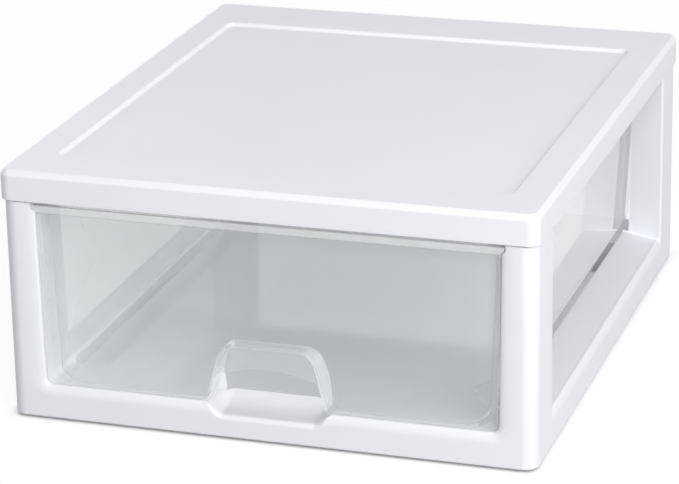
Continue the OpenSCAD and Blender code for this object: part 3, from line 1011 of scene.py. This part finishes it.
    def scoop_cut(self) -> Solid:
        """Makes the finger scoop in the top of the front rail: a shallow dish with every edge soft.

        Returns:
            The cutter.
        """
        h = self.housing
        edge, end = self.scoop_edge, self.scoop_end
        half, reach = h.pull_width / 2 + self.scoop_margin, h.pull_depth + self.scoop_behind
        above = h.rail + self.scoop_above
        turns = [math.radians(90 * k / 8) for k in range(9)]
        run = [k / 12 for k in range(1, 13)]
        left = [-half + end * k / 16 for k in range(17)]
        rings = []
        for x in [*left, *(-x for x in reversed(left))]:
            part = min(max((abs(x) - half + end) / end, 0), 1)
            floor = h.rail - self.scoop * (1 - part**2 * (3 - 2 * part))
            full = max(1 - abs(x / half) ** self.scoop_square, 0) ** (1 / self.scoop_square)
            back = reach * full + edge + PAST
            lip = [(edge * (1 - math.cos(t)), floor - edge * (1 - math.sin(t))) for t in turns]
            rise = h.rail + self.scoop_lift - floor
            dish = [(edge + (back - edge) * t, floor + rise * t**3) for t in run]
            section = [(-FAR, floor - edge), *lip, *dish, (back + PAST, above), (-FAR, above)]
            rings.append([(x, -h.fy + away, z) for away, z in section])
        return Solid.loft(rings)

    def runners(self) -> Solid:
        """Makes the pair of hidden ledges that carry the drawer's rim.

        Returns:
            Both as one body.
        """
        h = self.housing
        wall, tip, x, out = self.runner_wall, h.open_top - self.runner_in, h.notch_x, h.fx - self.runner_out
        low, high = h.ledge_z, h.deck_z
        section = [
            (tip, low - wall), (x + wall, low - wall), (x + wall, high - wall), (out, high - wall),
            (out, high), (x, high), (x, low), (tip, low),
        ]
        return Solid.prism(section, Axis.Y, h.front_y - PAST, h.rear_y + PAST).both_sides()

    def build(self, finish: bpy.types.Material) -> bpy.types.Object:
        """Builds the frame as one moulding and puts it in place of the solids of its members.

        Args:
            finish: The white plastic.

        Returns:
            The frame.
        """
        body = self.block().add(self.ring())
        for cutter in [*self.openings(), *self.hollows(), *self.post_hollows(), self.scoop_cut()]:
            body.cut(cutter)
        body.add(self.runners())
        piece = body.finish("lower_frame", finish)
        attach(piece, "housing")
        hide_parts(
            "front_left_post", "front_right_post", "rear_left_post", "rear_right_post", "front_rail",
            "rear_rail", "left_rail", "right_rail", "left_runner", "right_runner",
        )
        return piece


# ---------------------------------------------------------------- the clear drawer


@dataclass
class ClearDrawer:
    """The clear drawer: a drafted tub, a flat front with an arched finger pull, and a sliding rim."""

    housing: Housing
    front: float = 2.4  # thickness of the front panel
    front_in: float = 1.5  # its face, in from the frame's
    side_in: float = 3.0  # the tub's upper edges, in from the opening's
    lift: float = 2.5  # its underside, above the front rail
    draft: float = 5.0
    rear_draft: float = 0.4  # of the rear wall, as a share of the side walls'
    gap: float = 0.9  # between the front panel and the opening's sides
    foot_gap: float = 0.6  # between the front panel and the rail
    panel_corner: float = 5.0
    foot_radius: float = 9.0
    foot_wall: float = 0.8  # how much of the wall the foot's radius loses on the inside
    inner_corner: float = 9.0  # radius inside the tub's front corners
    corner: float = 8.0  # radius of its rear corners
    band: float = 5.0  # height of the thicker band along the front's upper edge
    band_in: float = 0.4  # from its foot to the panel's sides
    band_front: float = 0.6  # how far it stands out of the panel
    band_back: float = 4.0
    rim_front: float = 6.5  # width of the rim behind the front
    rim_back: float = 3.4  # how far it stands out at the back
    rim_lap: float = 0.8  # how far it reaches over the inside of the walls, before the inside is cut
    rim_corner: float = 3.0  # how much larger than the tub's corners its own are
    tab_x: float = 118.0
    tab_half: tuple[float, float] = (11.0, 8.0)  # half widths of a stop tab at its foot and its top
    tab_radius: float = 2.0
    tab_in: float = 0.4  # how much thinner than the wall it is
    pull_top_width: float = 63.0
    pull_top: float = 67.0
    pull_top_depth: float = 14.5
    pull_taper: float = 5.0  # how much it narrows on each side from the front to the back
    pull_corner: float = 14.0
    pull_crest: float = 6.0  # radius along the back of its top
    pull_skew: float = 6.0  # how far its sides' slant is carried on outwards, below the rail
    pull_heel: float = 2.0  # and its back's
    pull_run: float = 60.0  # how far its plan is run down, past the ends of its other outlines
    lip: float = 51.5  # height of the lip's middle
    lip_rise: float = 4.6  # how much higher that is than the lip is at its sides
    soft: float = 0.7  # width of the mould's soft edges

    def __post_init__(self) -> None:
        """Works out where the drawer stands in the housing."""
        h = self.housing
        self.x = h.open_top - self.side_in
        self.z = h.rail + self.lift
        self.y0 = -h.fy + self.front_in
        self.y1 = h.tub_back
        self.top = h.rim_z
        self.lean = self.draft / (self.top - self.z)

    def tub(self, shrink: float, y0: float, front_radius: float, top: float) -> Solid:
        """Makes the tub's outside or its inside, drafted and with rounded corners and foot.

        Args:
            shrink: How much smaller than the outside it is: 0 or the wall.
            y0: Its front face.
            front_radius: Radius of its front corners.
            top: Its height, to which the draft is carried on.

        Returns:
            The body.
        """
        low, corner = self.z + shrink, self.corner - shrink
        foot = self.foot_radius - shrink * self.foot_wall
        path = rounded(
            [(OPEN_END, low), (self.draft - self.lean * shrink, low), (-self.lean * (top - self.top), top)],
            [0, foot, 0], 7, closed=False,
        )[1:]
        rings = []
        for inset, z in path:
            side, back = self.x - shrink - inset, self.y1 - shrink - inset * self.rear_draft
            plan = Plan(-side, side, y0, back, (front_radius, front_radius, corner, corner))
            rings.append([(x, y, z) for x, y in plan.inset(0)])
        return Solid.loft(rings)

    def front_panel(self) -> Solid:
        """Makes the flat front, drafted with the opening, and the band with ears along its upper edge.

        Returns:
            The body.
        """
        h = self.housing
        low, high, foot = h.open_low - self.gap, h.open_top - self.gap, h.rail + self.foot_gap
        corners = [(-low, foot), (low, foot), (high, self.top), (-high, self.top)]
        outline = rounded(corners, [self.panel_corner, self.panel_corner, 0, 0], 6)
        panel = Solid.prism(outline, Axis.Y, self.y0, self.y0 + self.front)
        inner, band_z, ear_z = high - self.band_in, self.top - self.band, self.top - h.rim_thickness
        band = [
            (-inner, band_z), (inner, band_z), (h.rim_x, ear_z), (h.rim_x, self.top), (-h.rim_x, self.top),
            (-h.rim_x, ear_z),
        ]
        return panel.add(Solid.prism(band, Axis.Y, self.y0 - self.band_front, self.y0 + self.band_back))

    def rim(self) -> Solid:
        """Makes the turned-out rim, which slides on the housing's ledges.

        Returns:
            The body.
        """
        h = self.housing
        wide, outside, inside = self.x - h.tub_wall, self.corner + self.rim_corner, self.corner - h.tub_wall
        outer = Plan(-h.rim_x, h.rim_x, self.y0, self.y1 + self.rim_back, (SHARP, SHARP, outside, outside))
        inner = Plan(
            -wide, wide, self.y0 + self.rim_front, self.y1 - h.tub_wall,
            (self.inner_corner, self.inner_corner, inside, inside),
        )
        slab = Solid.prism(outer.inset(0), Axis.Z, self.top - h.rim_thickness, self.top)
        return slab.cut(Solid.prism(inner.inset(self.rim_lap), Axis.Z, self.top - FAR, self.top + FAR))

    def tabs(self) -> Solid:
        """Makes the pair of tabs at the back that stop the drawer.

        Returns:
            Both as one body.
        """
        h = self.housing
        foot, tip = self.tab_half
        corners = [
            (self.tab_x - foot, self.top - PAST), (self.tab_x + foot, self.top - PAST),
            (self.tab_x + tip, h.stop_z), (self.tab_x - tip, h.stop_z),
        ]
        outline = rounded(corners, [0, 0, self.tab_radius, self.tab_radius], 4)
        return Solid.prism(outline, Axis.Y, self.y1 - h.tub_wall + self.tab_in, self.y1).both_sides()

    def pull_front(self, shrink: float) -> list[Point]:
        """Draws the pull's front outline, with its sides carried on below the rail.

        Args:
            shrink: 0 for its outside, or the wall for its inside.

        Returns:
            Points in X and Z.
        """
        h = self.housing
        slant = (h.pull_width - self.pull_top_width) / 2 / (self.pull_top - h.rail)
        return arch(
            h.pull_width / 2 - shrink + self.pull_skew, h.rail - self.pull_skew / slant,
            self.pull_top_width / 2 - shrink, self.pull_top - shrink, self.pull_corner - shrink,
        )

    def pull_side(self, shrink: float, start: float) -> list[Point]:
        """Draws the pull's side outline, with its leaning back carried on below the drawer.

        Args:
            shrink: 0 for its outside, or the wall for its inside.
            start: The front face, past which the outline reaches.

        Returns:
            Points in Y and Z.
        """
        depth = self.housing.pull_depth
        slant = (depth - self.pull_top_depth) / (self.pull_top - self.z)
        front, low, high = start - 30, self.z - self.pull_heel / slant, self.pull_top - shrink
        corners = [
            (front, low), (self.y0 + depth - shrink + self.pull_heel, low),
            (self.y0 + self.pull_top_depth - shrink, high), (front, high),
        ]
        return rounded(corners, [0, 0, self.pull_crest - shrink, 0], 6)

    def pull_plan(self, shrink: float) -> list[Point]:
        """Draws the pull's plan: a D with its flat side in the drawer's front.

        Args:
            shrink: 0 for its outside, or the wall for its inside.

        Returns:
            Points in X and Y.
        """
        half, depth = self.housing.pull_width / 2 - shrink, self.housing.pull_depth - shrink
        before = 20.0  # how far the plan's slanting sides are carried on in front of the drawer
        return arch(
            half + self.pull_taper * before / depth, self.y0 - before, half - self.pull_taper,
            self.y0 + depth, self.pull_corner - shrink,
        )

    def pull(self, shrink: float) -> Solid:
        """Makes the finger pull from its front, side and top outlines together.

        Args:
            shrink: 0 for its outside, or the wall for its inside.

        Returns:
            The body.
        """
        h = self.housing
        start = self.y0 + (self.front if shrink else 0.0)
        first = start - (0 if shrink else PAST)
        body = Solid.prism(self.pull_front(shrink), Axis.Y, first, self.y0 + h.pull_depth + 10)
        body.keep(Solid.prism(self.pull_side(shrink, start), Axis.X, -h.pull_width, h.pull_width))
        return body.keep(Solid.prism(self.pull_plan(shrink), Axis.Z, -self.pull_run, h.height))

    def mouth(self) -> Solid:
        """Makes the mouth in the front below the arched lip, where the fingers go in.

        Returns:
            The cutter.
        """
        half = self.pull_top_width / 2
        radius = (half**2 + self.lip_rise**2) / (2 * self.lip_rise)
        wide, below = 60.0, -20.0  # past the pull's sides and foot
        turns = [math.radians(30 - 2.5 * k) for k in range(25)]
        arc = [(radius * math.sin(t), self.lip - radius + radius * math.cos(t)) for t in turns]
        front = self.pull_front(self.housing.tub_wall)
        body = Solid.prism(front, Axis.Y, self.y0 - 2 * PAST, self.y0 + self.front + PAST)
        lip = [(-wide, below), (wide, below), *arc]
        return body.keep(Solid.prism(lip, Axis.Y, self.y0 - 3 * PAST, self.y0 + 9 * PAST))

    def looks_thick(self, at: Vector, out: Vector) -> bool:
        """Whether a face is on the pull's sides and top, or on the band along the front's upper edge.

        Args:
            at: The face's centre.
            out: Its normal.

        Returns:
            True for a face that is seen through more plastic than the walls have.
        """
        h, near = self.housing, 0.2
        band = at.y < self.y0 + self.band_back + near and at.z > self.top - self.band + near
        across = abs(at.x) < h.pull_width / 2 + PAST
        along = self.y0 + self.front < at.y < self.y0 + h.pull_depth + PAST
        upright = self.z < at.z < self.pull_top + 0.5
        return band or (across and along and upright and abs(out.y) < 0.75)

    def build(self, finish: bpy.types.Material, edges: bpy.types.Material) -> bpy.types.Object:
        """Builds the drawer as one moulding and puts it in place of the solids of its members.

        Args:
            finish: The clear plastic.
            edges: The milkier look of its edges, its band and its pull.

        Returns:
            The drawer.
        """
        wall = self.housing.tub_wall
        drawer = self.tub(0, self.y0 + 0.5, SHARP, self.top)
        drawer.add(self.front_panel()).add(self.rim()).add(self.tabs())
        drawer.cut(self.tub(wall, self.y0 + self.front, self.inner_corner, self.top + 12))
        shell = self.pull(0).keep(self.tub(0, self.y0 - 2 * PAST, SHARP, self.top))
        drawer.add(shell).cut(self.pull(wall)).cut(self.mouth())
        drawer.soften(self.soft, 2, 40, slot=1).give(1, self.looks_thick)
        piece = drawer.finish("clear_tub", finish, edges)
        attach(piece, "drawer")
        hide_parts("drawer_tub", "drawer_rim", "finger_pull")
        return piece


# ---------------------------------------------------------------- studio


@dataclass
class Studio:
    """A pale floor, soft light and the camera, at the photograph's angle."""

    azimuth: float = 17.74  # degrees, to the right of straight ahead
    elevation: float = 18.79
    roll: float = -0.96
    distance: float = 2071.7  # mm from the point that the camera turns about
    target: Place = (-4.46, 0.0, 103.79)
    focal: float = 2913.8  # in pixels of the frame
    shift: Point = (16.92, -50.11)  # of the picture's middle, in pixels
    frame_width: float = 679.0
    sensor: float = 36.0
    air: str = "#FBFCFF"  # colour of the surroundings as they light the box
    ambient: Point = (0.43, 0.59)  # their strength, level with the box and above it
    key: float = 56.0  # watts, from the front right
    key_way: Place = (0.61, -0.67, 0.42)
    fill: float = 10.0  # watts, from a low strip behind on the left
    fill_way: Place = (-0.78, 0.62, 0.12)
    fill_height: float = 0.7
    lamp_width: float = 2.2  # metres, as are the other lengths from here on
    lamp_distance: float = 2.4
    lamp_aim: float = 0.09  # height of the point that the lamps are turned to
    paper: str = "#A0A0A0"  # the floor's colour as it lights the box from below
    floor_half: float = 12.0
    floor_drop: float = 0.0002
    floor_own: Point = (0.14, 0.87)  # the floor's own white: below the box, around it
    floor_takes: Point = (0.94, 0.16)  # how much it shows of light and shadow, in the same places
    footprint: Point = (0.1813, 0.2148)  # half of the box's width and depth
    fade: Point = (-0.002, 0.008)  # where the floor goes from the one to the other, out from the footprint

    def camera(self) -> None:
        """Sets the camera up."""
        a, e, r = (math.radians(v) for v in (self.azimuth, self.elevation, self.roll))
        back = Vector((math.sin(a) * math.cos(e), -math.cos(a) * math.cos(e), math.sin(e)))
        right = Vector((math.cos(a), math.sin(a), 0))
        up = back.cross(right)
        right, up = math.cos(r) * right + math.sin(r) * up, -math.sin(r) * right + math.cos(r) * up
        data = bpy.data.cameras.new("camera")
        data.sensor_fit, data.sensor_width = "HORIZONTAL", self.sensor
        data.lens = self.focal / self.frame_width * data.sensor_width
        data.shift_x, data.shift_y = -self.shift[0] / self.frame_width, self.shift[1] / self.frame_width
        obj = bpy.data.objects.new("camera", data)
        place = (Vector(self.target) + back * self.distance) * MM
        obj.matrix_world = Matrix.Translation(place) @ Matrix((right, up, back)).transposed().to_4x4()
        bpy.context.scene.collection.objects.link(obj)
        bpy.context.scene.camera = obj

    def seen(self, tree: bpy.types.NodeTree) -> bpy.types.NodeSocket:
        """Tells the rays that show the surroundings from those that light the box.

        Args:
            tree: The tree that gets the nodes.

        Returns:
            An output of 1 for rays that show them straight, in gloss or through clear plastic, else 0.
        """
        ray = add_node(tree, "ShaderNodeLightPath").outputs
        links = {0: ray["Is Glossy Ray"], 1: ray["Is Transmission Ray"]}
        sharp = add_node(tree, "ShaderNodeMath", links, operation="MAXIMUM")
        links = {0: ray["Is Camera Ray"], 1: sharp.outputs[0]}
        return add_node(tree, "ShaderNodeMath", links, operation="MAXIMUM").outputs[0]

    def floor(self) -> None:
        """Lays a plain white floor that keeps the object's shadow."""
        mesh = bmesh.new()
        bmesh.ops.create_grid(mesh, x_segments=2, y_segments=2, size=self.floor_half)
        data = bpy.data.meshes.new("floor")
        mesh.to_mesh(data)
        mesh.free()
        obj = bpy.data.objects.new("floor", data)
        obj.location.z = -self.floor_drop
        bpy.context.scene.collection.objects.link(obj)
        data.materials.append(self.floor_material())

    def floor_material(self) -> bpy.types.Material:
        """Builds the floor's material: it is seen white around the box, and lights the box as plain paper.

        Returns:
            The material.
        """
        made = bpy.data.materials.new("White studio paper")
        made.use_nodes = True
        tree = made.node_tree
        tree.nodes.clear()
        paper = add_node(tree, "ShaderNodeBsdfDiffuse", Color=linear(self.paper))
        place = add_node(tree, "ShaderNodeTexCoord").outputs["Object"]
        folded = add_node(tree, "ShaderNodeVectorMath", {0: place}, operation="ABSOLUTE").outputs[0]
        outside = add_node(tree, "ShaderNodeVectorMath", {0: folded}, operation="SUBTRACT")
        outside.inputs[1].default_value = (*self.footprint, 0)
        parts = add_node(tree, "ShaderNodeSeparateXYZ", {0: outside.outputs[0]}).outputs
        links = {0: parts["X"], 1: parts["Y"]}
        away = add_node(tree, "ShaderNodeMath", links, operation="MAXIMUM").outputs[0]
        glow, take = (
            add_node(
                tree, "ShaderNodeMapRange", {"Value": away}, From_Min=self.fade[0], From_Max=self.fade[1],
                To_Min=ends[0], To_Max=ends[1],
            ).outputs["Result"]
            for ends in (self.floor_own, self.floor_takes)
        )
        shadowed = add_node(tree, "ShaderNodeBsdfDiffuse", {"Color": take})
        own = add_node(tree, "ShaderNodeEmission", {"Strength": glow}, Color=(1, 1, 1, 1))
        both = add_node(tree, "ShaderNodeAddShader", {0: shadowed.outputs[0], 1: own.outputs[0]})
        links = {0: self.seen(tree), 1: paper.outputs[0], 2: both.outputs[0]}
        mix = add_node(tree, "ShaderNodeMixShader", links)
        add_node(tree, "ShaderNodeOutputMaterial", {"Surface": mix.outputs[0]})
        return made

    def surroundings(self) -> None:
        """Sets up soft surroundings that light the box a little more from above, and are seen white."""
        world = bpy.data.worlds.new("studio")
        world.use_nodes = True
        tree = world.node_tree
        tree.nodes.clear()
        way = add_node(tree, "ShaderNodeTexCoord").outputs["Generated"]
        height = add_node(tree, "ShaderNodeSeparateXYZ", {0: way}).outputs["Z"]
        level = add_node(
            tree, "ShaderNodeMapRange", {"Value": height}, To_Min=self.ambient[0], To_Max=self.ambient[1]
        )
        links = {"Strength": level.outputs["Result"]}
        soft = add_node(tree, "ShaderNodeBackground", links, Color=linear(self.air))
        white = add_node(tree, "ShaderNodeBackground", Color=(1, 1, 1, 1), Strength=1.0)
        links = {0: self.seen(tree), 1: soft.outputs[0], 2: white.outputs[0]}
        mix = add_node(tree, "ShaderNodeMixShader", links)
        add_node(tree, "ShaderNodeOutputWorld", {"Surface": mix.outputs[0]})
        bpy.context.scene.world = world

    def softbox(self, name: str, direction: Place, power: float, height: float) -> None:
        """Hangs a softbox near the box and turns it to it.

        Args:
            name: The lamp's name.
            direction: Where it hangs, as a direction from the box.
            power: Its power in watts.
            height: Its height in metres.
        """
        lamp = bpy.data.lights.new(name, "AREA")
        lamp.shape, lamp.size, lamp.size_y, lamp.energy = "RECTANGLE", self.lamp_width, height, power
        obj = bpy.data.objects.new(name, lamp)
        toward = Vector(direction).normalized()
        obj.location = toward * self.lamp_distance + Vector((0, 0, self.lamp_aim))
        obj.rotation_euler = toward.to_track_quat("Z", "Y").to_euler()
        bpy.context.scene.collection.objects.link(obj)

    def build(self) -> None:
        """Sets the whole studio up."""
        self.camera()
        self.floor()
        self.surroundings()
        self.softbox("key", self.key_way, self.key, self.lamp_width)
        self.softbox("fill", self.fill_way, self.fill, self.fill_height)
        bpy.context.scene.view_settings.view_transform = "Standard"
        # Light crosses many clear walls on its way into the box and out of it
        bpy.context.scene.cycles.transparent_max_bounces = 32


def main() -> None:
    """Builds the studio and the pieces in order, and reports each."""
    logging.basicConfig(level=logging.INFO, format="%(message)s")
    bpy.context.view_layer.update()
    Studio().build()
    white = MouldedPolypropylene().material()
    clear = ClearPolystyrene().material()
    edges = ClearPolystyrene(name="Clear moulded polystyrene edges", milky=(0.6, 0.95)).material()
    housing = Housing()
    pieces = (
        TopCover(housing).build(white),
        LowerFrame(housing).build(white),
        ClearDrawer(housing).build(clear, edges),
    )
    for piece in pieces:
        log.info("%s: %d faces, %s", piece.name, len(piece.data.polygons), piece.data.materials[0].name)


if __name__ == "__main__":
    main()
